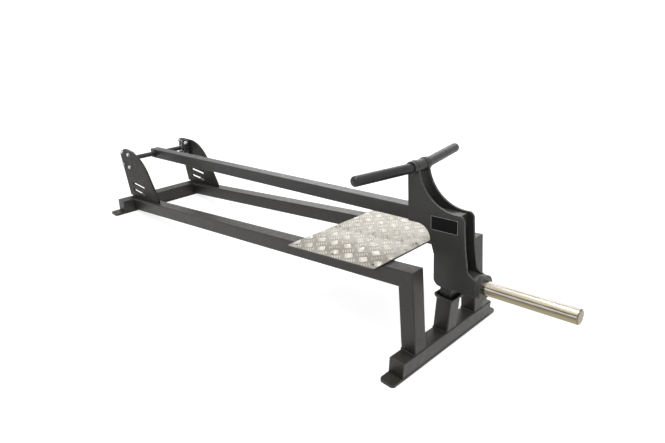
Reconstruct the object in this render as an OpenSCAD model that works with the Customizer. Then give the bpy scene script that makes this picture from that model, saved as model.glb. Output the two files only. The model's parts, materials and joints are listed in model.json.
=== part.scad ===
// T-bar row machine: a floor frame of square tube, a lever hinged at the rear
// on flanged bearings, and a weight sleeve, handle and stop at the front.
// Origin: centre of the front crossmember's base plate, on the floor.
// +X towards the weight sleeve, +Y to the machine's left, +Z up.

/* [Frame tube] */
// Side of the square frame tube
tube_w = 60; // [54:1:66]
// Wall of the square tubes
tube_t = 3; // [2:0.5:4]
// Outside corner radius of the square tubes
tube_r = 4.5; // [4.5:0.5:7]
// Length of each crossmember over its end caps
cross_len = 552; // [500:2:620]
// Distance between the crossmembers' centre lines
cross_gap = 1903; // [1700:1:2100]
// Thickness of the welded crossmember end caps
cap_t = 3; // [2:0.5:5]

/* [Base plates] */
// Thickness of the base plate under each crossmember
base_t = 10; // [6:1:14]
// Length of base plate that shows past each crossmember end
base_tab = 51; // [40:1:60]
// Corner radius of the base plate
base_r = 14; // [6:1:20]
// Diameter of the floor bolt hole in each tab
floor_hole_d = 12; // [9:0.5:14]
// Distance of the floor bolt hole from the tab's end
hole_edge = 13; // [11:1:24]

/* [Side frames] */
// Distance between the centre lines of the two rails
rail_pitch = 370; // [330:2:400]
// Height of the front top corner where post and rail meet
corner_h = 364.5; // [320:0.5:420]
// Backward lean of the outer posts
post_lean = 8.2; // [4:0.1:12]

/* [Foot plate] */
// Length of the foot plate along the rails
foot_len = 425; // [380:1:460]
// Width of the foot plate across the rails
foot_w = 522; // [470:2:540]
// Distance along the rail from the front corner to the foot plate
foot_inset = 118; // [90:1:140]
// Thickness of the steel backing plate
foot_base_t = 4; // [3:0.5:6]
// Thickness of the aluminium tread sheet
tread_t = 2; // [1.5:0.5:3]
// Distance of the rivets from the foot plate's edges
rivet_inset = 25; // [15:1:35]
// Diameter of the rivet shank
rivet_d = 5; // [4:0.5:6]

/* [Stop] */
// Height of the centre post's top
stop_h = 190; // [175:1:200]
// Height of the flared cup on the centre post
cup_h = 17.5; // [12:0.5:22]
// How far the cup's rim flares past the post on each side
cup_flare = 9; // [6:0.5:10]
// Height of the upright band at the cup's rim
cup_rim = 5.5; // [3:0.5:8]
// Wall and floor of the cup
cup_t = 5; // [3:0.5:5]
// Length of the rubber buffer along X
buffer_l = 46; // [30:1:48]
// Width of the rubber buffer along Y
buffer_w = 50; // [40:1:52]
// Diameter of the buffer's stud
stud_d = 10; // [8:1:12]

/* [Pivot] */
// Distance of the pivot axis behind the rear crossmember's centre line
pivot_back = 51.5; // [40:0.5:60]
// Height of the pivot axis above the floor
pivot_h = 273; // [250:1:300]
// Thickness of the upright pivot plates
pivot_plate_t = 10; // [8:1:14]
// Height of the pivot plates above the axis
pivot_plate_top = 52; // [50:1:65]
// Reach of the pivot plates' foot in front of the axis
pivot_plate_foot = 305; // [280:1:330]
// Diameter of the pivot shaft
shaft_d = 25; // [22:1:26]

/* [Bearing units] */
// Side of the square bearing flange
flange_w = 95; // [90:1:98]
// Thickness of the bearing flange
flange_t = 14; // [12:1:16]
// Bolt spacing of the bearing flange
flange_pitch = 70; // [68:1:72]
// Depth of the bearing housing
housing_depth = 27; // [25:1:30]
// Diameter of the flange bolts
bolt_d = 10; // [8:1:10]
// Diameter of the bearing's spherical outer ring
ring_d = 52; // [51:0.5:54]
// Diameter of one bearing ball
ball_d = 7.9; // [7:0.1:8]
// Number of balls in each bearing
ball_n = 9; // [7:1:9]

/* [Lever] */
// Rise of the lever at rest, from the pivot to the front
lever_angle = 6.165; // [5.5:0.005:6.6]
// Side of the square lever tube
arm_w = 50; // [46:1:52]
// How far the arm's front end passes the centre post
arm_fore = 21; // [10:1:28]
// Distance from the pivot to the arm's rear end
arm_rear = 33; // [31:1:45]
// Diameter of the pivot boss through the arm
boss_d = 40; // [36:1:42]
// How far the boss stands out of each side of the arm
boss_proud = 6; // [2:1:12]

/* [Head] */
// Thickness of the head's side plates
head_t = 8; // [6:1:10]
// Rear edge of the head plates behind the centre post
head_back = 176.5; // [172:0.5:186]
// Front edge of the head's shoulder ahead of the centre post
head_fore = 44; // [40:1:50]
// Rear edge of the lower head behind the centre post
heel_back = 71; // [64:1:80]
// Bottom of the head below the arm's axis
head_drop = 240; // [232:1:250]
// Shoulder of the head above the arm's axis
shoulder_w = 31; // [27:0.5:33]
// Radius of the concave sweep under the handle
sweep_r = 149; // [145:1:152]
// Radius of the shoulder's front corner
shoulder_r = 22; // [12:1:24]
// Radius of the fillet under the arm
throat_r = 50; // [40:1:52]
// Radius of the lower rear corner
heel_r = 26; // [15:1:36]
// Thickness of the plates that close the head
web_t = 8; // [5:1:10]
// Length of the plain badge plate
badge_l = 105; // [80:1:110]
// Height of the plain badge plate
badge_h = 50; // [30:1:52]

/* [Handle] */
// Height of the handle above the arm's axis
handle_w = 166; // [158:1:172]
// Diameter of the handle bar
bar_d = 28; // [24:1:30]
// Diameter of the grips
grip_d = 35; // [33:0.5:38]
// Diameter of the spacer between the head plates
spacer_d = 42; // [36:1:43]
// Diameter of the collars beside the head plates
collar_d = 45; // [40:1:50]
// Length of each collar
collar_l = 12; // [8:1:16]
// Half the span between the grip tips
handle_reach = 289; // [250:1:300]
// Backward bend of each grip
handle_sweep = 9.6; // [5:0.1:14]
// Upward tilt of the plane in which the bar is bent
handle_tilt = 5.7; // [0:0.1:12]

/* [Weight sleeve] */
// Diameter of the weight sleeve
sleeve_d = 50; // [48:0.5:50]
// Free length of the weight sleeve
sleeve_l = 306; // [250:1:360]
// Distance of the sleeve's axis below the arm's axis
sleeve_drop = 210; // [200:1:214]
// Diameter of the steel core inside the sleeve
core_d = 40; // [30:1:42]
// Diameter of the sleeve's flange
collar_flange_d = 85; // [80:1:95]
// Thickness of the sleeve's flange
collar_flange_t = 17; // [10:1:20]
// Chamfer at the sleeve's end
sleeve_chamfer = 3; // [1:0.5:5]

/* [Fits] */
// Radial gap of a shaft in its own bore
fit_gap = 0.05; // [0.02:0.01:0.1]
// Gap between the lever and its stop at rest
rest_gap = 0.2; // [0.1:0.1:0.5]

/* [Hidden] */
$fn = 64;

// Frame
cross_top = base_t + tube_w;
rear_x = -cross_gap;
post_front_x = tube_w / 2;
corner_x = post_front_x - (corner_h - cross_top) * tan(post_lean);
rail_end_x = rear_x + tube_w / 2;
rail_rise = atan((corner_h - cross_top) / (corner_x - rail_end_x));
rail_dir = [cos(rail_rise), sin(rail_rise)];
post_dir = [-sin(post_lean), cos(post_lean)];
corner = [corner_x, corner_h];
// The mitre runs from the outer corner to where the inner faces meet
function mitre_out(d) = let (v = rail_dir + post_dir) d * v / norm(v);
function rail_z(x) = corner_h + (x - corner_x) * tan(rail_rise);
cut_over = 60;
long = 2 * cross_gap;
stud_nut_d = 1.9 * stud_d;
stud_nut_h = 0.8 * stud_d;

// Foot plate, measured along the rail from the front corner
foot_mid = foot_inset + foot_len / 2;
rivet_head_r = rivet_d;
rivet_head_h = 1.5;
foot_r = 10;
rivet_places = [for (u = [-1, 0, 1], y = [-1, 0, 1]) if (u != 0 || y != 0)
    [u * (foot_len / 2 - rivet_inset), y * (foot_w / 2 - rivet_inset)]];

// Pivot
pivot_x = rear_x - pivot_back;
plate_y = rail_pitch / 2;
face_y = plate_y - pivot_plate_t / 2;
plate_foot_x = pivot_x + pivot_plate_foot;
plate_lean = 16.6;
plate_heel = -1;
plate_back_r = 30;
plate_nose_r = 34;
plate_nose = 105;
plate_bulge = 14;
slot_w = 14;
slot_l = 130;
slot_gap = 38;
slot_rise = 40;
slot_x = pivot_x + 105;

// Bearing unit, measured inwards from the pivot plate's inner face
race_z = 16;
ring_w = 15;
inner_short = 14.3;
inner_long = 19.8;
inner_d = 34;
race_r = 19.5;
ring_bore_r = 22;
groove_r = ball_d / 2 + 0.06;
pocket_r = ball_d / 2 + 0.12;
cage_t = 2.6;
cage_w = ball_d + 1.7;
seat_r = ring_d / 2 + fit_gap;
seal_t = 1.5;
seal_gap = 0.3;
nipple_z = 22;
nipple_d = 5;
flange_r = 12;
boss_wall = 9;
screw_d = 6;
screw_z = race_z + inner_long - 5;
bolt_hole_d = bolt_d + 1;
bolt_af = 1.7 * bolt_d;
head_h = 0.64 * bolt_d;
washer_t = 2;
nut_h = 0.84 * bolt_d;
hex = 6;
hex_r = bolt_af / sqrt(3);
shaft_l = 2 * (face_y - 2);

// Lever and head, measured along and above the arm's axis from the pivot
reach = (cross_gap + pivot_back) / cos(lever_angle);
arm_front = reach + arm_fore;
head_rear = reach - head_back;
head_front = reach + head_fore;
heel_u = reach - heel_back;
arm_top = arm_w / 2;
head_y = arm_top;
bar_r = bar_d / 2;
horn_r = 21.5;
handle_u = head_rear + horn_r;
horn_front = handle_u + horn_r;
sweep_u = horn_front + sweep_r;
sweep_w = shoulder_w - 1 + sweep_r;
flange_u = head_front + 50;
ledge_lean = 14;
ledge_r = 22;
ledge_fall = 30;
ledge_c = [head_front + ledge_lean + ledge_r, -sleeve_drop + 60];
ledge_turn = 270 - ledge_fall;
ledge_foot_w = ledge_c[1] + ledge_r * sin(ledge_turn)
    - (flange_u - ledge_c[0] - ledge_r * cos(ledge_turn)) * tan(ledge_fall);
ledge_w = -sleeve_drop + 32;
ledge_nose = 15;
bend_y = head_y + head_t + collar_l + 1.5;
grip_start = 3;
grip_l = (handle_reach - grip_d / 2 - bend_y) / cos(handle_sweep) + grip_d / 2;
bar_end = grip_l - (grip_d - bar_d) / 2 - 3;
grip_round = 11;
badge_t = 1.2;
badge_u = (head_rear + head_front) / 2 + 36;
badge_w = -12;
block_rear = heel_u + 40;
block_top = 24;
sleeve_u = flange_u + collar_flange_t;
sleeve_end_t = 8;

function lever_z(x) = let (w = -head_drop,
    u = (x - pivot_x + w * sin(lever_angle)) / cos(lever_angle))
    pivot_h + u * sin(lever_angle) + w * cos(lever_angle);
function arc(c, r, a0, a1, n = 10) =
    [for (i = [0:n]) let (a = a0 + (a1 - a0) * i / n) c + r * [cos(a), sin(a)]];
function bow(p, q, h, n = 14) = let (d = q - p, k = [d[1], -d[0]] / norm(d))
    [for (i = [1:n - 1]) let (t = i / n) p + d * t + k * 4 * h * t * (1 - t)];

module rounded(size, r) {
    x = size[0] / 2;
    y = size[1] / 2;
    square([2 * x, 2 * (y - r)], center = true);
    square([2 * (x - r), 2 * y], center = true);
    for (i = [-1, 1], j = [-1, 1]) translate([i * (x - r), j * (y - r)]) circle(r);
}

module slot(l, w) {
    square([l - w, w], center = true);
    for (i = [-1, 1]) translate([i * (l - w) / 2, 0]) circle(d = w);
}

module tube_section(w) {
    difference() {
        rounded([w, w], tube_r);
        rounded([w - 2 * tube_t, w - 2 * tube_t], tube_r - tube_t);
    }
}

// Extrudes an XZ outline across Y, centred
module across(w) { rotate([90, 0, 0]) linear_extrude(w, center = true) children(); }

module left_or_right(s) { if (s > 0) children(); else mirror([0, 1, 0]) children(); }

module both() { for (s = [-1, 1]) left_or_right(s) children(); }

// Base plates and crossmembers
module base_plate(x) {
    color("#3a3a3a") translate([x, 0, 0]) difference() {
        linear_extrude(base_t) rounded([tube_w, cross_len + 2 * base_tab], base_r);
        for (s = [-1, 1]) translate([0, s * (cross_len / 2 + base_tab - hole_edge), -1])
            cylinder(d = floor_hole_d, h = base_t + 2);
    }
}

module crossmember(x) {
    color("#3d3d3d") translate([x, 0, base_t + tube_w / 2])
        across(cross_len - 2 * cap_t) tube_section(tube_w);
}

module crossmember_end_caps() {
    color("#3d3d3d") for (x = [0, rear_x]) both()
        translate([x, (cross_len - cap_t) / 2, base_t + tube_w / 2])
            across(cap_t) rounded([tube_w, tube_w], tube_r);
}

// Posts and rails, mitred at the front top corner
module rail_region() {
    polygon([[rail_end_x, -tube_w], [rail_end_x, corner_h + cut_over],
        corner + mitre_out(cut_over), corner - mitre_out(3 * cut_over)]);
}

module post_region() {
    polygon([corner + mitre_out(cut_over), [tube_w * 2, cross_top], [-tube_w * 5, cross_top],
        corner - mitre_out(3 * cut_over)]);
}

module rail(s) {
    color("#454545") translate([0, s * rail_pitch / 2, 0]) intersection() {
        translate([corner_x, 0, corner_h]) rotate([0, -rail_rise, 0])
            translate([0, 0, -tube_w / 2]) rotate([0, 90, 0])
                linear_extrude(long, center = true) tube_section(tube_w);
        across(2 * tube_w) rail_region();
    }
}

module front_post(s) {
    color("#424242") translate([0, s * rail_pitch / 2, 0]) intersection() {
        translate([corner_x, 0, corner_h]) rotate([0, -post_lean, 0])
            translate([-tube_w / 2, 0, 0])
                linear_extrude(2 * corner_h, center = true) tube_section(tube_w);
        across(2 * tube_w) post_region();
    }
}

// Foot plate on the rails
module on_rails(rise) {
    translate([corner_x, 0, corner_h]) rotate([0, -rail_rise, 0])
        translate([-foot_mid, 0, rise]) children();
}

module foot_sheet(t) {
    difference() {
        linear_extrude(t) rounded([foot_len, foot_w], foot_r);
        for (p = rivet_places) translate([p[0], p[1], -1])
            cylinder(d = rivet_d + 2 * fit_gap, h = t + 2, $fn = 24);
    }
}

module foot_plate_base() { color("#303030") on_rails(0) foot_sheet(foot_base_t); }

module tread_sheet() { color("#b9b3a8") on_rails(foot_base_t) foot_sheet(tread_t); }

module tread_rivets() {
    color("#2b2b2b") on_rails(0) for (p = rivet_places) translate(p) {
        cylinder(d = rivet_d, h = foot_base_t + tread_t, $fn = 24);
        translate([0, 0, foot_base_t + tread_t])
            cylinder(r1 = rivet_head_r, r2 = rivet_head_r / 2, h = rivet_head_h, $fn = 24);
        translate([0, 0, -rivet_head_h]) cylinder(r = rivet_head_r, h = rivet_head_h, $fn = 24);
    }
}

// Centre post, cup and buffer that the head rests on
module centre_post() {
    color("#3f3f3f") translate([0, 0, cross_top])
        linear_extrude(stop_h - cross_top) tube_section(tube_w);
}

// A square that widens upwards about fixed corner centres, up to an upright rim
module flared(inset, r, over = 0) {
    low = tube_w / 2 - inset;
    c = low - r;
    h = cup_h - cup_rim;
    high = low + cup_flare;
    profile = [[-low, 0], [low, 0], [high, h], [-high, h]];
    for (i = [-1, 1], j = [-1, 1]) translate([i * c, j * c, 0])
        cylinder(r1 = r, r2 = r + cup_flare, h = h);
    across(2 * c) polygon(profile);
    rotate([0, 0, 90]) across(2 * c) polygon(profile);
    translate([0, 0, h]) linear_extrude(cup_rim + over)
        rounded([2 * high, 2 * high], r + cup_flare);
}

module buffer_cup() {
    color("#444444") translate([0, 0, stop_h]) difference() {
        flared(0, tube_r);
        difference() {
            flared(cup_t, 1, 1);
            translate([0, 0, cup_t / 2 - 0.5])
                cube([2 * tube_w, 2 * tube_w, cup_t + 1], center = true);
        }
        translate([0, 0, -1]) cylinder(d = stud_d + 2 * fit_gap, h = cup_t + 2);
    }
}

module buffer_block() {
    x = buffer_l / 2;
    z0 = stop_h + cup_t;
    color("#161616") difference() {
        intersection() {
            across(buffer_w) polygon([[-x, z0], [x, z0], [x, lever_z(x) - rest_gap],
                [-x, lever_z(-x) - rest_gap]]);
            linear_extrude(corner_h) rounded([buffer_l, buffer_w], tube_r);
        }
        translate([0, 0, z0 - 1]) cylinder(d = stud_d + 2 * fit_gap, h = stud_d + 1);
    }
}

module buffer_stud() {
    color("silver") translate([0, 0, stop_h - stud_d])
        cylinder(d = stud_d, h = 2 * stud_d + cup_t);
}

module buffer_nut() {
    color("silver") translate([0, 0, stop_h - stud_nut_h]) difference() {
        cylinder(d = stud_nut_d, h = stud_nut_h, $fn = hex);
        translate([0, 0, -1]) cylinder(d = stud_d + 2 * fit_gap, h = stud_d);
    }
}

// Upright plates that carry the bearings
module pivot_plate(s) {
    back_foot = [pivot_x - plate_heel, cross_top];
    back_top = pivot_h + pivot_plate_top - plate_back_r;
    back = back_foot[0] - (back_top - cross_top) * tan(plate_lean);
    nose = [pivot_x + plate_nose - plate_nose_r, pivot_h + pivot_plate_top - plate_nose_r];
    foot = [plate_foot_x, rail_z(plate_foot_x)];
    nose_end = nose + plate_nose_r * [cos(45), sin(45)];
    color("#333333") translate([0, s * plate_y, 0]) difference() {
        across(pivot_plate_t) polygon(concat(
            [back_foot, [rail_end_x, cross_top], foot],
            bow(foot, nose_end, plate_bulge),
            arc(nose, plate_nose_r, 45, 90),
            arc([back + plate_back_r, back_top], plate_back_r, 90, 180)));
        for (i = [-1, 1], j = [-1, 1])
            translate([pivot_x + i * flange_pitch / 2, 0, pivot_h + j * flange_pitch / 2])
                rotate([90, 0, 0]) cylinder(d = bolt_hole_d, h = 2 * pivot_plate_t, center = true);
        for (j = [0, 1]) translate([slot_x, 0, cross_top + slot_rise + j * slot_gap])
            across(2 * pivot_plate_t) slot(slot_l, slot_w);
    }
}

// Places a bearing unit on the left plate's inner face, with its axis inwards
module on_face() { translate([pivot_x, face_y, pivot_h]) rotate([90, 0, 0]) children(); }

module bearing_housing(s) {
    boss_r = ring_d / 2 + boss_wall;
    color("#242424") left_or_right(s) on_face() difference() {
        union() {
            linear_extrude(flange_t) rounded([flange_w, flange_w], flange_r);
            translate([0, 0, flange_t])
                cylinder(r1 = boss_r, r2 = boss_r - 4, h = housing_depth - flange_t);
        }
        translate([0, 0, race_z]) sphere(seat_r);
        translate([0, 0, -1]) cylinder(r = sqrt(pow(seat_r, 2) - pow(ring_w / 2 + 1, 2)),
            h = housing_depth + 2);
        for (i = [-1, 1], j = [-1, 1])
            translate([i * flange_pitch / 2, j * flange_pitch / 2, -1])
                cylinder(d = bolt_hole_d, h = flange_t + 2);
        translate([0, 0, nipple_z]) rotate([-90, 0, 0]) cylinder(d = nipple_d, h = 2 * boss_r);
    }
}

module grease_nipples() {
    color("silver") both() on_face() translate([0, 0, nipple_z]) rotate([-90, 0, 0]) {
        translate([0, 0, ring_d / 2 + 1.5]) cylinder(d = nipple_d - 2 * fit_gap, h = 8);
        translate([0, 0, ring_d / 2 + 9.5]) cylinder(d = nipple_d + 3, h = 4);
        translate([0, 0, ring_d / 2 + 13.5]) cylinder(d1 = nipple_d, d2 = nipple_d - 2, h = 5);
    }
}

module race_groove() { rotate_extrude() translate([race_r, 0]) circle(groove_r); }

module bearing_outer_rings() {
    color("#8d9096") both() on_face() translate([0, 0, race_z]) difference() {
        intersection() {
            sphere(ring_d / 2);
            cylinder(d = ring_d + 2, h = ring_w, center = true);
        }
        cylinder(r = ring_bore_r, h = ring_w + 2, center = true);
        race_groove();
    }
}

module bearing_seals() {
    color("#1c1c1c") both() on_face() for (j = [-1, 1])
        translate([0, 0, race_z + j * (ring_w - seal_t) / 2]) difference() {
            cylinder(r = ring_bore_r, h = seal_t, center = true);
            cylinder(r = inner_d / 2 + seal_gap, h = seal_t + 1, center = true);
        }
}

module ball_places() {
    for (i = [0:ball_n - 1]) rotate([0, 0, i * 360 / ball_n]) translate([race_r, 0, 0]) children();
}

module bearing_balls(s) {
    color("silver") left_or_right(s) on_face() translate([0, 0, race_z])
        ball_places() sphere(d = ball_d);
}

module bearing_cage(s) {
    color("#a08a50") left_or_right(s) on_face() translate([0, 0, race_z]) difference() {
        cylinder(r = race_r + cage_t / 2, h = cage_w, center = true);
        cylinder(r = race_r - cage_t / 2, h = cage_w + 2, center = true);
        ball_places() rotate([0, 90, 0]) cylinder(r = pocket_r, h = 2 * cage_t, center = true);
    }
}

module set_screw_places() {
    for (a = [60, 120]) rotate([0, 0, a]) translate([0, 0, screw_z]) rotate([0, 90, 0]) children();
}

module bearing_inner_rings() {
    color("#a9acb0") both() on_face() difference() {
        translate([0, 0, race_z - inner_short]) cylinder(d = inner_d, h = inner_short + inner_long);
        cylinder(d = shaft_d + 2 * fit_gap, h = 2 * housing_depth);
        translate([0, 0, race_z]) race_groove();
        set_screw_places() cylinder(d = screw_d + 2 * fit_gap, h = inner_d);
    }
}

module bearing_set_screws() {
    color("#5a5a5a") both() on_face() set_screw_places() translate([0, 0, shaft_d / 2 + fit_gap])
        cylinder(d = screw_d, h = (inner_d - shaft_d) / 2 - 0.5);
}

module bolt_places() {
    for (i = [-1, 1], j = [-1, 1])
        translate([i * flange_pitch / 2, j * flange_pitch / 2, 0]) children();
}

module bearing_bolts() {
    grip = pivot_plate_t + flange_t + 2 * washer_t + nut_h + 3;
    color("#c9ccd0") both() on_face() bolt_places()
        translate([0, 0, -pivot_plate_t - washer_t]) {
            translate([0, 0, -head_h]) cylinder(r = hex_r, h = head_h, $fn = hex);
            cylinder(d = bolt_d - 0.1, h = grip);
        }
}

module bearing_washers() {
    color("#c9ccd0") both() on_face() bolt_places()
        for (z = [-pivot_plate_t - washer_t, flange_t]) translate([0, 0, z]) difference() {
            cylinder(d = 2 * bolt_d, h = washer_t);
            translate([0, 0, -1]) cylinder(d = bolt_d + 0.5, h = washer_t + 2);
        }
}

module bearing_nuts() {
    color("#c9ccd0") both() on_face() bolt_places()
        translate([0, 0, flange_t + washer_t]) difference() {
            cylinder(r = hex_r, h = nut_h, $fn = hex);
            translate([0, 0, -1]) cylinder(d = bolt_d, h = nut_h + 2);
        }
}

// Lever, drawn level with the pivot at the origin and turned to its rest angle
module lever() {
    translate([pivot_x, 0, pivot_h]) rotate([0, -lever_angle, 0]) children();
}

module pivot_shaft() {
    color("#9aa0a8") translate([pivot_x, 0, pivot_h]) rotate([90, 0, 0])
        cylinder(d = shaft_d, h = shaft_l, center = true);
}

module pivot_boss() {
    color("#4a4a4a") lever() rotate([90, 0, 0]) difference() {
        cylinder(d = boss_d, h = arm_w + 2 * boss_proud, center = true);
        cylinder(d = shaft_d + 2 * fit_gap, h = 2 * arm_w, center = true);
    }
}

module lever_arm() {
    color("#4b4b4b") lever() difference() {
        translate([-arm_rear + cap_t, 0, 0]) rotate([0, 90, 0])
            linear_extrude(arm_front + arm_rear - 2 * cap_t) tube_section(arm_w);
        rotate([90, 0, 0]) cylinder(d = boss_d + 2 * fit_gap, h = 2 * arm_w, center = true);
    }
}

module arm_end_caps() {
    color("#4b4b4b") lever() for (u = [-arm_rear, arm_front - cap_t]) translate([u, 0, 0])
        rotate([0, 90, 0]) linear_extrude(cap_t) rounded([arm_w, arm_w], tube_r);
}

// Side outline of the head, in distances along and above the arm's axis
module head_outline() {
    under = -arm_top;
    throat = head_rear + 40;
    heel_w = -head_drop + heel_r;
    difference() {
        union() {
            polygon(concat([[head_rear, handle_w], [head_rear, under], [throat, under],
                [throat, under - throat_r], [throat + throat_r, under - throat_r],
                [heel_u, under - 2 * throat_r], [heel_u, heel_w],
                [heel_u + heel_r, heel_w], [heel_u + heel_r, -head_drop],
                [flange_u, -head_drop], [flange_u, ledge_foot_w]],
                arc(ledge_c, ledge_r, ledge_turn, 180, 6), [
                [head_front + ledge_lean / 3, -sleeve_drop * 0.37], [head_front, 0],
                [head_front, shoulder_w - shoulder_r],
                [head_front - shoulder_r, shoulder_w - shoulder_r],
                [head_front - shoulder_r, shoulder_w], [sweep_u, shoulder_w],
                [sweep_u, handle_w]]));
            translate([handle_u, handle_w]) circle(horn_r);
            translate([heel_u + heel_r, heel_w]) circle(heel_r);
            translate([head_front - shoulder_r, shoulder_w - shoulder_r]) circle(shoulder_r);
        }
        translate([sweep_u, sweep_w]) circle(sweep_r, $fn = 128);
        translate([throat, under - throat_r]) circle(throat_r);
    }
}

module head_plate(s) {
    color("#404040") left_or_right(s) lever() translate([0, head_y + head_t / 2, 0])
        difference() {
            across(head_t) head_outline();
            translate([handle_u, 0, handle_w]) rotate([90, 0, 0])
                cylinder(r = bar_r + fit_gap, h = 2 * head_t, center = true);
        }
}

module head_bottom_plate() {
    color("#3a3a3a") lever() translate([heel_u + heel_r, -head_y, -head_drop])
        cube([flange_u - heel_u - heel_r, 2 * head_y, web_t]);
}

module head_ledge_plate() {
    color("#4d4d4d") lever() across(2 * head_y) polygon([[block_rear, ledge_w],
        [flange_u - ledge_nose, ledge_w], [flange_u, ledge_foot_w + 1],
        [flange_u, block_top - sleeve_drop], [block_rear, block_top - sleeve_drop]]);
}

module badge_plate() {
    color("#101010") lever() translate([badge_u, -head_y - head_t - badge_t / 2, badge_w])
        across(badge_t) rounded([badge_l, badge_h], 3);
}

// Weight sleeve, its core and the block welded into the head
module on_sleeve(u) { lever() translate([u, 0, -sleeve_drop]) rotate([0, 90, 0]) children(); }

module sleeve_block() {
    low = head_drop - sleeve_drop - web_t;
    color("#333333") lever() difference() {
        translate([block_rear, -head_y, -sleeve_drop - low])
            cube([flange_u - block_rear, 2 * head_y, low + block_top]);
        translate([block_rear - 1, 0, -sleeve_drop]) rotate([0, 90, 0])
            cylinder(d = core_d + 2 * fit_gap, h = flange_u);
    }
}

module sleeve_core() {
    color("#8a8d92") on_sleeve(block_rear)
        cylinder(d = core_d, h = sleeve_u + sleeve_l - sleeve_end_t - block_rear);
}

module sleeve_flange() {
    color("#2e2e2e") on_sleeve(flange_u) difference() {
        cylinder(d = collar_flange_d, h = collar_flange_t);
        translate([0, 0, -1]) cylinder(d = core_d + 2 * fit_gap, h = collar_flange_t + 2);
    }
}

module weight_sleeve() {
    c = sleeve_chamfer;
    r = sleeve_d / 2;
    color("#d9d4cc") on_sleeve(sleeve_u) difference() {
        rotate_extrude() polygon([[0, 0], [r, 0], [r, sleeve_l - c], [r - c, sleeve_l],
            [0, sleeve_l]]);
        translate([0, 0, -1]) cylinder(d = core_d + 2 * fit_gap, h = sleeve_l - sleeve_end_t + 1);
    }
}

// Handle bar, the angled bars welded to its ends, and what they carry
module at_handle() { lever() translate([handle_u, 0, handle_w]) children(); }

module bent(a) {
    rotate([0, handle_tilt, 0]) translate([0, bend_y, 0]) rotate([0, 0, a]) children();
}

module grip_line() { bent(handle_sweep) rotate([-90, 0, 0]) children(); }

// Everything past the mitre between the handle bar and an angled bar
module past_bend() {
    bent(handle_sweep / 2) translate([-2 * bar_d, 0, -2 * bar_d])
        cube([4 * bar_d, handle_reach, 4 * bar_d]);
}

module handle_bar() {
    color("#3a3a3a") at_handle() difference() {
        rotate([90, 0, 0]) cylinder(r = bar_r, h = 2 * bend_y + bar_d, center = true);
        both() past_bend();
    }
}

module grip_bar(s) {
    color("#3a3a3a") left_or_right(s) at_handle() intersection() {
        past_bend();
        grip_line() translate([0, 0, -bar_d]) cylinder(r = bar_r, h = bar_end + bar_d);
    }
}

module handle_tube(d, l) {
    rotate([90, 0, 0]) difference() {
        cylinder(d = d, h = l, center = true);
        cylinder(r = bar_r + fit_gap, h = l + 2, center = true);
    }
}

module handle_spacer() { color("#343434") at_handle() handle_tube(spacer_d, 2 * head_y); }

module handle_collars() {
    color("#343434") at_handle() both()
        translate([0, head_y + head_t + collar_l / 2, 0]) handle_tube(collar_d, collar_l);
}

module grip(s) {
    r = grip_d / 2;
    f = grip_round;
    color("#1a1a1a") left_or_right(s) at_handle() grip_line() difference() {
        rotate_extrude() {
            translate([0, grip_start]) square([r, grip_l - f - grip_start]);
            translate([0, grip_start]) square([r - f, grip_l - grip_start]);
            translate([r - f, grip_l - f]) intersection() {
                circle(f);
                translate([-0.5, -0.5]) square(2 * f);
            }
        }
        cylinder(r = bar_r + fit_gap, h = bar_end + fit_gap);
    }
}

base_plate(0);  // front_base_plate
base_plate(rear_x);  // rear_base_plate
crossmember(0);  // front_crossmember
crossmember(rear_x);  // rear_crossmember
crossmember_end_caps();
front_post(1);  // front_post_left
front_post(-1);  // front_post_right
rail(1);  // rail_left
rail(-1);  // rail_right
foot_plate_base();
tread_sheet();
tread_rivets();
centre_post();
buffer_cup();
buffer_block();
buffer_stud();
buffer_nut();
pivot_plate(1);  // pivot_plate_left
pivot_plate(-1);  // pivot_plate_right
bearing_housing(1);  // bearing_housing_left
bearing_housing(-1);  // bearing_housing_right
bearing_outer_rings();
bearing_seals();
grease_nipples();
bearing_bolts();
bearing_washers();
bearing_nuts();
bearing_balls(1);  // bearing_balls_left
bearing_balls(-1);  // bearing_balls_right
bearing_cage(1);  // bearing_cage_left
bearing_cage(-1);  // bearing_cage_right
bearing_inner_rings();
bearing_set_screws();
pivot_shaft();
pivot_boss();
lever_arm();
arm_end_caps();
head_plate(1);  // head_plate_left
head_plate(-1);  // head_plate_right
head_bottom_plate();
head_ledge_plate();
badge_plate();
sleeve_block();
sleeve_core();
sleeve_flange();
weight_sleeve();
handle_bar();
grip_bar(1);  // grip_bar_left
grip_bar(-1);  // grip_bar_right
handle_spacer();
handle_collars();
grip(1);  // grip_left
grip(-1);  // grip_right
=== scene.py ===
"""Looks of the t-bar row machine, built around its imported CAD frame."""

import json
import math
import random

import bmesh
import bpy
from mathutils import Matrix, Vector


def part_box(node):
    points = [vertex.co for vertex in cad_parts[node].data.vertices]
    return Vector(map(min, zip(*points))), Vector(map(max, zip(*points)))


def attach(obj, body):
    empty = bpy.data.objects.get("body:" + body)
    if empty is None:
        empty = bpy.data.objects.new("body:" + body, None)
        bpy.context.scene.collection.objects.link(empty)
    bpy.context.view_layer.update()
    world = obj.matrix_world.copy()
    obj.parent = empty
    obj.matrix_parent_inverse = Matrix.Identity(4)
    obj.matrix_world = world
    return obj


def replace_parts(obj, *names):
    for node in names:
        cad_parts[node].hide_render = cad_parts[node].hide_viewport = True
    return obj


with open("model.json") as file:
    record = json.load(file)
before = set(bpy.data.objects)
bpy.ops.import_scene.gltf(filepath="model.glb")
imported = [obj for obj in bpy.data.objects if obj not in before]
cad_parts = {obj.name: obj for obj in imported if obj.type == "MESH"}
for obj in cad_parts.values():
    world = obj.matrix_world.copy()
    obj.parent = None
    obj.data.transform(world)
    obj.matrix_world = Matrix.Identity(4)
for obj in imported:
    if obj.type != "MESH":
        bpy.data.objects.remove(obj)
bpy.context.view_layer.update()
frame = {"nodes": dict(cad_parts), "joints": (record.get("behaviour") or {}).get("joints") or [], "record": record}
nodes = frame["nodes"]
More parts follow.
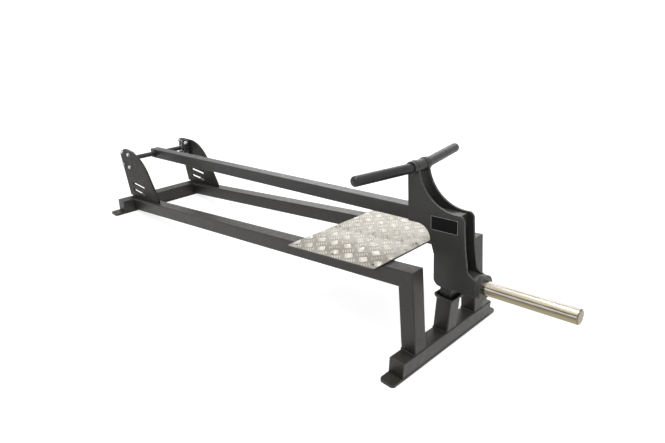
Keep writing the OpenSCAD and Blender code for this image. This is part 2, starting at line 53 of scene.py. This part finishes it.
rng = random.Random(7)

# Camera, in metres, degrees and millimetres of lens
CAMERA_AT = Vector((0.84200, -1.47569, 1.20435))
CAMERA_AZIMUTH = 43.713
CAMERA_ELEVATION = 23.980
CAMERA_ROLL = 1.376
CAMERA_LENS = 29.672
CAMERA_SENSOR = 36
CAMERA_REACH = 200

# Floor and sky: the floor's own colour, the glow that whitens it, and the sky's light
FLOOR_SHADE = 0.45
FLOOR_GLOW = 0.81
FLOOR_ROUGHNESS = 0.9
FLOOR_R = 60
FLOOR_SIDES = 96
FLOOR_AT = (-0.9, 0, -0.0005)
SKY_LIGHT = 0.42

# Surface colours, linear
COAT = (0.0262, 0.0236, 0.0198)
LEVER_COAT = (0.0295, 0.0285, 0.0275)
CASTING = (0.010, 0.010, 0.010)
ZINC = (0.66, 0.67, 0.68)
STEEL = (0.42, 0.43, 0.45)
OILED = (0.030, 0.030, 0.032)
BRASS = (0.50, 0.36, 0.14)
CHROME = (0.74, 0.72, 0.69)
TREAD = (0.255, 0.240, 0.210)
TREAD_DIRT = (0.62, 0.55, 0.42)
# Paler than the sheet: a painted highlight on the raised bars
HIGHLIT_BARS = (0.68, 0.655, 0.595)
RUBBER = (0.009, 0.009, 0.009)
BADGE = (0.006, 0.006, 0.007)
BORDER = (0.42, 0.42, 0.41)

# Specular level of paint and rubber
PAINT_GLOSS = 0.38
RUBBER_GLOSS = 0.42

# How far each material rounds its edges
PAINT_EDGE_R = 0.0018
CAST_EDGE_R = 0.0020
PLATED_EDGE_R = 0.0006
TREAD_EDGE_R = 0.0005
EDGE_SAMPLES = 6

# Painted highlight along paint edges: how much paler, and the turns of the normal that start and fill the mask
PAINT_EDGE_HIGHLIGHT = 8.0
EDGE_MASK_FROM = 0.995
EDGE_MASK_FULL = 0.80

# The range that most of a noise lies in
NOISE_LOW = 0.3
NOISE_HIGH = 0.7

# Bands of painted reflection and painted shade on the chrome, from the sleeve's underside to its top; the first
# colour is a dark tan painted shade, also laid over the sleeve's end
SHADE_TAN = (0.20, 0.17, 0.11)
WARM = (0.27, 0.235, 0.15)
SHADED = (0.15, 0.13, 0.095)
BRIGHT = (0.60, 0.57, 0.53)
CREAM = (0.57, 0.51, 0.36)
WHITE = (0.69, 0.655, 0.63)
GREYED = (0.42, 0.39, 0.34)
SLEEVE_LIGHT_BANDS = (
    (0.00, SHADE_TAN), (0.15, WARM), (0.44, WARM), (0.54, SHADED), (0.60, SHADED), (0.65, BRIGHT),
    (0.69, BRIGHT), (0.73, SHADED), (0.76, SHADED), (0.81, CREAM), (0.88, CREAM), (0.94, WHITE),
    (0.97, WHITE), (0.99, GREYED))
BAND_WAVER = 0.018

# Where the painted shade at the sleeve's end starts and is full, from its tip
END_SHADE_FROM = 0.0042
END_SHADE_FULL = 0.0028

# Tread pattern: groups of raised bars that turn by a right angle from one to the next
GROUP_PITCH = 0.0475
GROUP_AT = (0.0279, 0.0160)
GROUP_REACH = 8
GROUP_MARGIN = 0.03
SHEET_RIM = 0.0006
BAR_COUNT = 5
BAR_LENGTH = 0.0330
BAR_WIDTH = 0.0052
BAR_HEIGHT = 0.0011
BAR_PITCH = 0.0084

# One bar: its outlines as shares of length, width and height, and the ridge between them
BAR_ROWS = ((1.0, 1.0, -0.05), (0.93, 0.80, 0.55), (0.80, 0.45, 0.92))
BAR_POINTS = 14
BAR_BLUNT = 0.25
BAR_RIDGE = 0.3
BAR_TIP_POINTS = 2

# Pivot plates: the front tip, the crown, the rounded rear corner and the slots
CROWN_AHEAD = 0.055
CROWN_R = 0.200
CROWN_FROM = 36.5
CROWN_STEPS = 16
TIP_HEIGHT = 0.015
TIP_BACK = 0.001
BACK_R = 0.030
BACK_FROM = 95
BACK_STEPS = 8
BACK_FALL = 0.007
SLOT_AHEAD = 0.105
SLOT_L = 0.130
SLOT_W = 0.014
SLOT_END_STEPS = 8
SLOT_HEIGHTS = (0.110, 0.148)

# Weld beads: size, ripple and how uneven they are
BEAD_R = 0.0030
BEAD_STEP = 0.0035
BEAD_SIDES = 8
BEAD_DIP = 0.86
BEAD_END = 0.4
BEAD_UNEVEN = (0.92, 1.06)
BEAD_STEEP = 0.9
SPACER_WELD_STEPS = 23
SPACER_WELD_TO = 345

# Badge border
BORDER_IN = 0.0005
BORDER_W = 0.0015
BORDER_H = 0.0004
BORDER_SLOPE = 0.0003
BORDER_SUNK = 0.0001
BORDER_CORNER_R = 0.003
BORDER_CORNER_SHRINK = 0.6
BORDER_CORNER_STEPS = 4

# Slack for picking the vertices of a face, and for joining double ones
PLATE_SLACK = 0.0001
FOOT_SLACK = 0.0005
DOUBLE_SLACK = 0.00001

# Places read from the frame
PIVOT = Vector(frame["joints"][0]["pos_m"])
SLEEVE_AXIS = next(Vector(m["axis"]) for m in frame["record"]["mounts"] if m["kind"] == "pin")
LEVER_UP = Vector((-SLEEVE_AXIS.z, 0, SLEEVE_AXIS.x))
SIDES = (("left", 1), ("right", -1))


# Node trees
def feed(tree, socket, value):
    """Links an output to a socket, or sets the socket's own value."""
    if isinstance(value, bpy.types.NodeSocket):
        tree.links.new(value, socket)
    else:
        socket.default_value = value


def calculate(tree, operation, a, b):
    """The result of one math node over two outputs or numbers."""
    node = tree.nodes.new("ShaderNodeMath")
    node.operation = operation
    feed(tree, node.inputs[0], a)
    feed(tree, node.inputs[1], b)
    return node.outputs[0]


class Shader:
    """A material's node tree, with short calls for what the materials below share."""

    def __init__(self, name, colour, roughness, metallic=0.0, gloss=0.5):
        self.material = bpy.data.materials.new(name)
        self.material.use_nodes = True
        self.tree = self.material.node_tree
        self.surface = self.tree.nodes["Principled BSDF"]
        self.surface.inputs["Base Color"].default_value = (*colour, 1)
        self.surface.inputs["Roughness"].default_value = roughness
        self.surface.inputs["Metallic"].default_value = metallic
        self.surface.inputs["Specular IOR Level"].default_value = gloss
        self.place = self.add("ShaderNodeTexCoord").outputs["Object"]

    def add(self, kind, **inputs):
        node = self.tree.nodes.new(kind)
        for key, value in inputs.items():
            feed(self.tree, node.inputs[key.replace("_", " ")], value)
        return node

    def noise(self, scale, detail=2.0, stretch=(1, 1, 1), turn=(0, 0, 0)):
        """Noise over object coordinates, in features per metre along each axis."""
        mapping = self.add("ShaderNodeMapping", Vector=self.place, Rotation=turn,
                           Scale=[scale * s for s in stretch])
        node = self.add("ShaderNodeTexNoise", Vector=mapping.outputs[0], Scale=1.0, Detail=detail)
        return node.outputs["Fac"]

    def ramp(self, value, low, high, to_low, to_high):
        """Maps low..high onto to_low..to_high, held at both ends."""
        node = self.add("ShaderNodeMapRange", Value=value)
        node.inputs["From Min"].default_value = low
        node.inputs["From Max"].default_value = high
        node.inputs["To Min"].default_value = to_low
        node.inputs["To Max"].default_value = to_high
        return node.outputs[0]

    def spread(self, noise, to_low=0.0, to_high=1.0):
        """Maps the range that most of a noise lies in onto to_low..to_high."""
        return self.ramp(noise, NOISE_LOW, NOISE_HIGH, to_low, to_high)

    def mix(self, amount, a, b):
        node = self.tree.nodes.new("ShaderNodeMix")
        node.data_type = "RGBA"
        feed(self.tree, node.inputs[0], amount)
        for socket, value in ((node.inputs[6], a), (node.inputs[7], b)):
            plain = not isinstance(value, bpy.types.NodeSocket)
            feed(self.tree, socket, (*value, 1) if plain else value)
        return node.outputs[2]

    def times(self, a, b):
        return calculate(self.tree, "MULTIPLY", a, b)

    def plus(self, a, b):
        return calculate(self.tree, "ADD", a, b)

    def vectors(self, operation, a, b):
        node = self.tree.nodes.new("ShaderNodeVectorMath")
        node.operation = operation
        feed(self.tree, node.inputs[0], a)
        feed(self.tree, node.inputs[1], b)
        return node.outputs["Value" if operation == "DOT_PRODUCT" else "Vector"]

    def distance(self, start, axis):
        """How far a point of the surface lies from a start along an axis, in metres."""
        away = self.vectors("SUBTRACT", self.place, start)
        return self.vectors("DOT_PRODUCT", away, axis)

    def bands(self, value, stops):
        """A colour that changes with a value, through stops of place and colour."""
        node = self.add("ShaderNodeValToRGB", Fac=value)
        ramp = node.color_ramp
        while len(ramp.elements) < len(stops):
            ramp.elements.new(0.5)
        for element, (at, colour) in zip(ramp.elements, stops):
            element.position = at
            element.color = (*colour, 1)
        return node.outputs["Color"]

    def rounded_edges(self, radius):
        """A normal that rounds every edge."""
        bevel = self.add("ShaderNodeBevel", Radius=radius)
        bevel.samples = EDGE_SAMPLES
        return bevel.outputs[0]

    def edge_mask(self, rounded):
        """1 where a rounded normal leaves the flat one, 0 on the flat faces."""
        flat = self.add("ShaderNodeNewGeometry").outputs["Normal"]
        dot = self.vectors("DOT_PRODUCT", rounded, flat)
        return self.ramp(dot, EDGE_MASK_FROM, EDGE_MASK_FULL, 0.0, 1.0)

    def bump(self, height, strength, distance, normal=None):
        node = self.add("ShaderNodeBump", Height=height, Strength=strength, Distance=distance)
        if normal is not None:
            self.tree.links.new(normal, node.inputs["Normal"])
        self.tree.links.new(node.outputs[0], self.surface.inputs["Normal"])

    def colour(self, value):
        feed(self.tree, self.surface.inputs["Base Color"], value)

    def roughness(self, value):
        feed(self.tree, self.surface.inputs["Roughness"], value)


# Materials
def shade(colour, factor):
    return tuple(c * factor for c in colour)


def painted(name, colour, roughness, grain, edge, gloss=PAINT_GLOSS):
    """Paint over steel: fine orange peel, faint cloudiness and a painted highlight along the edges."""
    s = Shader(name, colour, roughness, gloss=gloss)
    normal = s.rounded_edges(PAINT_EDGE_R)
    clouds = s.spread(s.noise(scale=9, detail=4.0))
    body = s.mix(clouds, shade(colour, 0.88), shade(colour, 1.12))
    patches = s.ramp(s.noise(scale=60, detail=3.0), low=0.35, high=0.6, to_low=0.3, to_high=1.0)
    # Paler edges, uneven in patches: a painted highlight
    edge_highlight = s.times(s.edge_mask(normal), patches)
    s.colour(s.mix(s.times(edge_highlight, edge), body, shade(colour, PAINT_EDGE_HIGHLIGHT)))
    s.roughness(s.spread(s.noise(scale=40, detail=3.0), roughness - 0.05, roughness + 0.06))
    s.bump(s.noise(grain), strength=0.22, distance=0.0006, normal=normal)
    return s.material


def plated(name, colour, roughness, stretch=(1, 1, 1), scale=400):
    """Bare or plated metal with fine marks along one direction."""
    s = Shader(name, colour, roughness, metallic=1.0)
    marks = s.noise(scale, 4.0, stretch)
    s.colour(s.mix(s.spread(marks), shade(colour, 0.82), shade(colour, 1.1)))
    s.roughness(s.spread(marks, roughness - 0.06, roughness + 0.08))
    s.bump(marks, strength=0.12, distance=0.0002, normal=s.rounded_edges(PLATED_EDGE_R))
    return s.material


def cast(name, colour):
    """Painted sand casting, pebbled and a little uneven in gloss."""
    s = Shader(name, colour, roughness=0.5, gloss=PAINT_GLOSS)
    pebbles = s.noise(scale=700, detail=3.0)
    s.colour(s.mix(s.spread(s.noise(scale=30, detail=3.0)), colour, shade(colour, 1.7)))
    s.roughness(s.spread(pebbles, 0.4, 0.6))
    s.bump(pebbles, strength=0.5, distance=0.0006, normal=s.rounded_edges(CAST_EDGE_R))
    return s.material


def soft_rubber(name, colour, grain):
    """Matte rubber with a fine moulded grain and rubbed patches."""
    s = Shader(name, colour, roughness=0.5, gloss=RUBBER_GLOSS)
    rubbed = s.ramp(s.noise(scale=25, detail=3.0), low=0.4, high=0.7, to_low=0, to_high=1)
    s.colour(s.mix(rubbed, colour, shade(colour, 2.0)))
    s.roughness(s.spread(s.noise(scale=60), 0.36, 0.50))
    s.bump(s.noise(grain), strength=0.35, distance=0.0004)
    return s.material


def tread_metal(name, colour, roughness):
    """Rolled aluminium with handling marks and a little warm dirt."""
    s = Shader(name, colour, roughness, metallic=0.6)
    rolled = s.noise(scale=500, detail=3.0, stretch=(0.06, 1, 1))
    clean = s.mix(s.spread(rolled), shade(colour, 0.9), shade(colour, 1.12))
    dirty = tuple(c * d for c, d in zip(colour, TREAD_DIRT))
    dirt = s.ramp(s.noise(scale=14, detail=5.0), low=0.42, high=0.75, to_low=0.0, to_high=0.6)
    s.colour(s.mix(dirt, clean, dirty))
    s.roughness(s.spread(s.noise(scale=80, detail=4.0), roughness - 0.08, roughness + 0.12))
    s.bump(rolled, strength=0.10, distance=0.0002, normal=s.rounded_edges(TREAD_EDGE_R))
    return s.material


def sleeve_chrome(name):
    """Chrome rubbed by plates, with painted reflections and painted shade: bright bands along the top, a dark tan
    painted shade below and at the end.
    """
    s = Shader(name, CHROME, roughness=0.16, metallic=1.0)
    turn = (0, math.atan2(SLEEVE_AXIS.z, SLEEVE_AXIS.x), 0)
    low, high = lever_extent("weight_sleeve", LEVER_UP)
    tip = lever_extent("weight_sleeve", SLEEVE_AXIS)[1]
    streaks = s.noise(scale=260, detail=4.0, stretch=(0.015, 1, 1), turn=turn)
    fine = s.noise(scale=900, detail=3.0, stretch=(0.01, 1, 1), turn=turn)
    height = s.ramp(s.distance(PIVOT, LEVER_UP), low, high, 0.0, 1.0)
    wavering = s.plus(height, s.spread(streaks, -BAND_WAVER, BAND_WAVER))
    at_end = s.ramp(s.distance(PIVOT, SLEEVE_AXIS), tip - END_SHADE_FROM,
                    tip - END_SHADE_FULL, 0.0, 1.0)
    # Painted reflections in bands by height, and painted shade over the end
    s.colour(s.mix(at_end, s.bands(wavering, SLEEVE_LIGHT_BANDS), SHADE_TAN))
    s.roughness(s.spread(fine, 0.14, 0.30))
    s.bump(fine, strength=0.06, distance=0.0001)
    return s.material


def finish(piece, material, smooth=None):
    """Gives every face of a piece one material."""
    piece.data.materials.clear()
    piece.data.materials.append(material)
    for face in piece.data.polygons:
        face.material_index = 0
        if smooth is not None:
            face.use_smooth = smooth


# Places and outlines
def on_lever(u, y, w):
    """A point u along the arm from the pivot, y to the left and w above its axis."""
    return PIVOT + u * SLEEVE_AXIS + Vector((0, y, 0)) + w * LEVER_UP


def lever_extent(name, axis):
    """How far a lever node reaches along a direction from the pivot."""
    reach = [(v.co - PIVOT).dot(axis) for v in nodes[name].data.vertices]
    return min(reach), max(reach)


def plate_frame(name):
    """Centre and turn of the top face of a thin tilted plate, and its half sizes."""
    mesh = nodes[name].data
    top = max(mesh.polygons, key=lambda f: f.normal.z * f.area)
    up = top.normal.copy()
    across = Vector((0, 1, 0))
    along = across.cross(up).normalized()
    height = max(v.co.dot(up) for v in mesh.vertices)
    us = [v.co.dot(along) for v in mesh.vertices]
    vs = [v.co.y for v in mesh.vertices]
    centre = along * (min(us) + max(us)) / 2 + across * (min(vs) + max(vs)) / 2 + up * height
    turn = Matrix((along, across, up)).transposed().to_4x4()
    return Matrix.Translation(centre) @ turn, (max(us) - min(us)) / 2, (max(vs) - min(vs)) / 2


def foot_ring(name):
    """Lowest outline of an upright post, as four corners."""
    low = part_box(name)[0].z
    ring = [v.co for v in nodes[name].data.vertices if v.co.z < low + FOOT_SLACK]
    x0, x1 = min(p.x for p in ring), max(p.x for p in ring)
    y0, y1 = min(p.y for p in ring), max(p.y for p in ring)
    return [Vector(p) for p in ((x0, y0, low), (x1, y0, low), (x1, y1, low), (x0, y1, low))]


def arc(centre, radius, start, end, steps):
    """Points of an arc in a vertical plane, between two angles in degrees."""
    angles = (math.radians(start + (end - start) * i / steps) for i in range(steps + 1))
    return [(centre[0] + radius * math.cos(a), centre[1] + radius * math.sin(a)) for a in angles]


# Meshes
def from_bmesh(name, bm):
    bmesh.ops.recalc_face_normals(bm, faces=bm.faces)
    mesh = bpy.data.meshes.new(name)
    bm.to_mesh(mesh)
    bm.free()
    piece = bpy.data.objects.new(name, mesh)
    bpy.context.scene.collection.objects.link(piece)
    return piece


def span(bm, low, high):
    """Faces between two closed rings of as many vertices."""
    for i in range(len(low)):
        j = (i + 1) % len(low)
        bm.faces.new((low[i], low[j], high[j], high[i]))


def flat_plate(name, loops, low_y, high_y):
    """A plate from loops of (x, z) points, the first its outline and the others its openings."""
    curve = bpy.data.curves.new(name, "CURVE")
    curve.dimensions = "2D"
    curve.fill_mode = "BOTH"
    curve.extrude = (high_y - low_y) / 2
    for loop in loops:
        spline = curve.splines.new("POLY")
        spline.points.add(len(loop) - 1)
        for point, (x, z) in zip(spline.points, loop):
            point.co = (x, z, 0, 1)
        spline.use_cyclic_u = True
    shape = bpy.data.objects.new(name + "_curve", curve)
    bpy.context.scene.collection.objects.link(shape)
    bm = bmesh.new()
    bm.from_mesh(shape.to_mesh())
    shape.to_mesh_clear()
    bpy.data.objects.remove(shape)
    bpy.data.curves.remove(curve)
    bmesh.ops.remove_doubles(bm, verts=bm.verts, dist=DOUBLE_SLACK)
    upright = Matrix.Rotation(math.pi / 2, 4, "X")
    bm.transform(Matrix.Translation((0, (low_y + high_y) / 2, 0)) @ upright)
    return from_bmesh(name, bm)


# Pivot plates
def slot_outline(rise):
    """A plain slot with round ends, at a height above the floor."""
    half = (SLOT_L - SLOT_W) / 2
    x = PIVOT.x + SLOT_AHEAD
    return (arc((x + half, rise), SLOT_W / 2, -90, 90, SLOT_END_STEPS)
            + arc((x - half, rise), SLOT_W / 2, 90, 270, SLOT_END_STEPS))


def pivot_plate(side):
    """A bearing's upright plate, crowned towards the front, with its two plain slots."""
    node = f"pivot_plate_{side}"
    low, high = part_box(node)
    points = [v.co for v in nodes[node].data.vertices]
    foot_x = [p.x for p in points if p.z < low.z + PLATE_SLACK]
    tip = max(points, key=lambda p: p.x)
    crown = (PIVOT.x + CROWN_AHEAD, high.z - CROWN_R)
    back = (min(p.x for p in points) + BACK_R, high.z - BACK_FALL - BACK_R)
    outline = [(min(foot_x), low.z), (max(foot_x), low.z), (tip.x, tip.z),
               (tip.x - TIP_BACK, tip.z + TIP_HEIGHT)]
    outline += arc(crown, CROWN_R, CROWN_FROM, 90, CROWN_STEPS)
    outline += arc(back, BACK_R, BACK_FROM, 180, BACK_STEPS)
    slots = [slot_outline(rise) for rise in SLOT_HEIGHTS]
    piece = flat_plate(f"crowned_plate_{side}", [outline] + slots, low.y, high.y)
    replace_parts(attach(piece, "frame"), node)
    return piece


# Raised bars of the tread sheet
def ridge_point(i):
    """Which of the ridge's three points the side i of a bar runs up to."""
    if min(i, BAR_POINTS - 1 - i) < BAR_TIP_POINTS:
        return 0
    if abs(i - (BAR_POINTS - 1) / 2) < BAR_TIP_POINTS:
        return 2
    return 1


def add_bar(bm, x, y, turn):
    """One raised bar: a pointed oval that crowns to a rounded ridge."""
    place = Matrix.Translation((x, y, 0)) @ Matrix.Rotation(turn, 4, "Z")
    rings = []
    for long, wide, high in BAR_ROWS:
        ring = []
        for i in range(BAR_POINTS):
            a = 2 * math.pi * i / BAR_POINTS
            px = math.cos(a) * BAR_LENGTH / 2 * long
            py = math.sin(a) * abs(math.sin(a)) ** BAR_BLUNT * BAR_WIDTH / 2 * wide
            ring.append(bm.verts.new(place @ Vector((px, py, BAR_HEIGHT * high))))
        rings.append(ring)
    for low, high in zip(rings, rings[1:]):
        span(bm, low, high)
    ridge = [bm.verts.new(place @ Vector((k * BAR_LENGTH * BAR_RIDGE, 0, BAR_HEIGHT)))
             for k in (1, 0, -1)]
    top = rings[-1]
    for i in range(BAR_POINTS):
        bm.faces.new((top[i], top[(i + 1) % BAR_POINTS], ridge[ridge_point(i)]))
    bm.faces.new(tuple(reversed(rings[0])))


def trim(bm, axis, half):
    """Cuts off what lies beyond both edges of the sheet along an axis."""
    for sign in (-1, 1):
        cut = bmesh.ops.bisect_plane(
            bm, geom=bm.verts[:] + bm.edges[:] + bm.faces[:], clear_outer=True,
            plane_co=axis * sign * (half - SHEET_RIM), plane_no=axis * sign)
        edges = [e for e in cut["geom_cut"] if isinstance(e, bmesh.types.BMEdge)]
        bmesh.ops.holes_fill(bm, edges=edges)


def tread_bars():
    """The five-bar groups over the whole tread sheet, cut off at its edges."""
    place, half_x, half_y = plate_frame("tread_sheet")
    bm = bmesh.new()
    steps = range(-GROUP_REACH, GROUP_REACH + 1)
    for i, j in ((i, j) for i in steps for j in steps):
        x = (i + j) * GROUP_PITCH / math.sqrt(2) + GROUP_AT[0]
        y = (i - j) * GROUP_PITCH / math.sqrt(2) + GROUP_AT[1]
        if abs(x) > half_x + GROUP_MARGIN or abs(y) > half_y + GROUP_MARGIN:
            continue
        turn = math.pi / 4 if (i + j) % 2 else -math.pi / 4
        side = Vector((-math.sin(turn), math.cos(turn), 0))
        for k in range(BAR_COUNT):
            off = (k - (BAR_COUNT - 1) / 2) * BAR_PITCH
            add_bar(bm, x + side.x * off, y + side.y * off, turn)
    trim(bm, Vector((1, 0, 0)), half_x)
    trim(bm, Vector((0, 1, 0)), half_y)
    bm.transform(place)
    piece = from_bmesh("tread_bars", bm)
    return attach(piece, "frame")


# Weld beads
def bead(name, path, body, closed=True):
    """A rippled weld bead along a path of corners."""
    bm = bmesh.new()
    points = []
    for a, b in zip(path, path[1:] + path[:1] if closed else path[1:]):
        n = max(2, round((b - a).length / BEAD_STEP))
        points += [(a.lerp(b, i / n), (b - a).normalized()) for i in range(n)]
    if not closed:
        points.append((path[-1], (path[-1] - path[-2]).normalized()))
    rings = []
    for i, (p, along) in enumerate(points):
        up = Vector((0, 0, 1)) if abs(along.z) < BEAD_STEEP else Vector((1, 0, 0))
        out = along.cross(up).normalized()
        up = out.cross(along)
        r = BEAD_R * (1.0 if i % 2 else BEAD_DIP) * rng.uniform(*BEAD_UNEVEN)
        if not closed and i in (0, len(points) - 1):
            r *= BEAD_END
        rings.append([bm.verts.new(p + r * (math.cos(a) * out + math.sin(a) * up))
                      for a in (2 * math.pi * k / BEAD_SIDES for k in range(BEAD_SIDES))])
    for a, b in zip(rings, rings[1:] + rings[:1] if closed else rings[1:]):
        span(bm, a, b)
    if not closed:
        bm.faces.new(rings[0])
        bm.faces.new(tuple(reversed(rings[-1])))
    piece = from_bmesh(name, bm)
    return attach(piece, body)


def welds():
    """The beads at the posts' feet, behind the head, at the sleeve and at the handle's spacer."""
    made = []
    for name in ("front_post_left", "front_post_right", "centre_post"):
        made.append(bead(f"weld_{name}", foot_ring(name), "frame"))
    rear = lever_extent("head_plate_right", SLEEVE_AXIS)[0]
    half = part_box("lever_arm")[1].y
    for side, s in SIDES:
        path = [on_lever(rear, s * half, w) for w in (-half, half)]
        made.append(bead(f"weld_head_{side}", path, "lever", closed=False))
    top_w = lever_extent("sleeve_block", LEVER_UP)[1]
    low_w = lever_extent("head_bottom_plate", LEVER_UP)[0]
    flange_u = lever_extent("sleeve_flange", SLEEVE_AXIS)[0]
    block = [on_lever(flange_u, half * s, w) for s, w in
             ((-1, low_w), (1, low_w), (1, top_w), (-1, top_w))]
    made.append(bead("weld_flange", block, "lever"))
    u, w = (sum(lever_extent("handle_spacer", axis)) / 2 for axis in (SLEEVE_AXIS, LEVER_UP))
    radius = (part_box("handle_spacer")[1].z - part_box("handle_spacer")[0].z) / 2
    around = arc((0, 0), radius, 0, SPACER_WELD_TO, SPACER_WELD_STEPS)
    for side, s in SIDES:
        ring = [on_lever(u + du, s * half, w + dw) for du, dw in around]
        made.append(bead(f"weld_spacer_{side}", ring, "lever"))
    return made


# Badge border
def border_ring(bm, inset, lift):
    """A rounded outline inside the badge plate's edge, lifted off its face."""
    low_u, high_u = lever_extent("badge_plate", SLEEVE_AXIS)
    low_w, high_w = lever_extent("badge_plate", LEVER_UP)
    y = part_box("badge_plate")[0].y
    r = BORDER_CORNER_R - min(inset, BORDER_CORNER_R * BORDER_CORNER_SHRINK)
    corners = ((high_u, high_w), (low_u, high_w), (low_u, low_w), (high_u, low_w))
    ring = []
    for quarter, (u, w) in enumerate(corners):
        start = 90 * quarter
        centre = (u - math.copysign(inset + r, u - (low_u + high_u) / 2),
                  w - math.copysign(inset + r, w - (low_w + high_w) / 2))
        for at_u, at_w in arc(centre, r, start, start + 90, BORDER_CORNER_STEPS):
            ring.append(bm.verts.new(on_lever(at_u, y - lift, at_w)))
    return ring


def badge_border():
    """A thin raised border around the bare badge plate."""
    bm = bmesh.new()
    rings = [border_ring(bm, BORDER_IN, -BORDER_SUNK),
             border_ring(bm, BORDER_IN + BORDER_SLOPE, BORDER_H),
             border_ring(bm, BORDER_W, BORDER_H),
             border_ring(bm, BORDER_W + BORDER_SLOPE, -BORDER_SUNK)]
    for a, b in zip(rings, rings[1:] + rings[:1]):
        span(bm, a, b)
    piece = from_bmesh("badge_border", bm)
    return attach(piece, "lever")


# Stage
def place_camera():
    a, e, r = (math.radians(v) for v in (CAMERA_AZIMUTH, CAMERA_ELEVATION, CAMERA_ROLL))
    ahead = -Vector((math.sin(a) * math.cos(e), -math.cos(a) * math.cos(e), math.sin(e)))
    right = Vector((math.cos(a), math.sin(a), 0))
    up = right.cross(ahead)
    right, up = right * math.cos(r) + up * math.sin(r), up * math.cos(r) - right * math.sin(r)
    data = bpy.data.cameras.new("camera")
    data.lens = CAMERA_LENS
    data.sensor_width = CAMERA_SENSOR
    data.sensor_fit = "HORIZONTAL"
    data.clip_end = CAMERA_REACH
    camera = bpy.data.objects.new("camera", data)
    turn = Matrix((right, up, -ahead)).transposed().to_4x4()
    camera.matrix_world = Matrix.Translation(CAMERA_AT) @ turn
    bpy.context.scene.collection.objects.link(camera)
    bpy.context.scene.camera = camera


def lamp(name, at, target, size, power):
    """A round soft lamp that points at a target."""
    data = bpy.data.lights.new(name, "AREA")
    data.shape = "DISK"
    data.size = size
    data.energy = power
    piece = bpy.data.objects.new(name, data)
    piece.location = at
    piece.rotation_euler = (Vector(target) - Vector(at)).to_track_quat("-Z", "Y").to_euler()
    bpy.context.scene.collection.objects.link(piece)


def seen_glow(tree, strength):
    """A glow of this strength for what the camera sees, and for what metal and glass show."""
    path = tree.nodes.new("ShaderNodeLightPath")
    seen = path.outputs["Is Camera Ray"]
    for rays in ("Is Glossy Ray", "Is Transmission Ray"):
        seen = calculate(tree, "MAXIMUM", seen, path.outputs[rays])
    return calculate(tree, "MULTIPLY", seen, strength)


def pale_floor():
    """A floor whose own glow makes it white around the shadow of the machine."""
    bm = bmesh.new()
    bmesh.ops.create_circle(bm, cap_ends=True, segments=FLOOR_SIDES, radius=FLOOR_R)
    bm.transform(Matrix.Translation(FLOOR_AT))
    piece = from_bmesh("floor", bm)
    material = bpy.data.materials.new("floor")
    material.use_nodes = True
    surface = material.node_tree.nodes["Principled BSDF"]
    surface.inputs["Base Color"].default_value = (FLOOR_SHADE, FLOOR_SHADE, FLOOR_SHADE, 1)
    surface.inputs["Roughness"].default_value = FLOOR_ROUGHNESS
    surface.inputs["Emission Color"].default_value = (1, 1, 1, 1)
    glow = seen_glow(material.node_tree, FLOOR_GLOW)
    material.node_tree.links.new(glow, surface.inputs["Emission Strength"])
    finish(piece, material)


def pale_world():
    """Soft light from all around, white where it is seen itself."""
    world = bpy.data.worlds.new("world")
    bpy.context.scene.world = world
    world.use_nodes = True
    tree = world.node_tree
    sky = tree.nodes["Background"]
    strength = calculate(tree, "ADD", SKY_LIGHT, seen_glow(tree, 1 - SKY_LIGHT))
    sky.inputs["Color"].default_value = (1, 1, 1, 1)
    tree.links.new(strength, sky.inputs["Strength"])


# Dress the frame
coat = painted("powder_coat", COAT, roughness=0.40, grain=1400, edge=0.5)
# A darker copy of the coat for the pivot plates: painted shade
shaded_plate_coat = painted("shaded_plate_powder_coat", shade(COAT, 0.85), roughness=0.46, grain=1400,
                     edge=0.5, gloss=0.18)
lever_coat = painted("lever_powder_coat", LEVER_COAT, roughness=0.40, grain=1400, edge=1.0)
oiled = painted("oiled_steel", OILED, roughness=0.30, grain=900, edge=0.2)
bars = tread_metal("tread_bars", HIGHLIT_BARS, roughness=0.34)
border = plated("badge_border", BORDER, roughness=0.4)

by_slot = {
    "powder_coat": coat,
    "cast_housing": cast("cast_housing", CASTING),
    "zinc_plate": plated("zinc_plate", ZINC, roughness=0.34),
    "bare_steel": plated("bare_steel", STEEL, roughness=0.28, stretch=(1, 0.1, 1), scale=600),
    "brass_cage": plated("brass_cage", BRASS, roughness=0.35),
    "rubber": soft_rubber("rubber", RUBBER, grain=1500),
    "tread_aluminium": tread_metal("tread_aluminium", TREAD, roughness=0.34),
    "dark_rivet": painted("dark_rivet", shade(COAT, 0.5), roughness=0.5, grain=1200, edge=0.2),
    "badge_black": painted("badge_black", BADGE, roughness=0.35, grain=900, edge=0.2, gloss=0.08),
    "chrome_sleeve": sleeve_chrome("chrome_sleeve"),
}
lever_nodes = frame["record"]["behaviour"]["bodies"]["lever"]
for part in frame["record"]["subparts"]:
    on_arm = part["material_slot"] == "powder_coat" and part["node"] in lever_nodes
    finish(nodes[part["node"]], lever_coat if on_arm else by_slot[part["material_slot"]])

finish(nodes["pivot_shaft"], oiled)
for side, _ in SIDES:
    finish(pivot_plate(side), shaded_plate_coat)
finish(tread_bars(), bars, smooth=True)
for weld in welds():
    finish(weld, lever_coat, smooth=True)
finish(badge_border(), border)

place_camera()
pale_floor()
pale_world()
lamp("key", at=(0.3, -1.3, 3.4), target=(-0.4, 0, 0.2), size=2.2, power=47)
lamp("top", at=(-0.5, 0.0, 3.4), target=(-0.7, 0, 0.2), size=0.5, power=45)
lamp("back", at=(-3.2, 2.6, 2.0), target=(-0.8, 0, 0.3), size=2.8, power=36)
lamp("rim", at=(-1.3, 3.0, 1.9), target=(0.0, 0, 0.4), size=1.8, power=14)
lamp("fill", at=(2.6, -1.2, 1.8), target=(-0.4, 0, 0.2), size=2.0, power=2)
bpy.context.scene.view_settings.view_transform = "Standard"
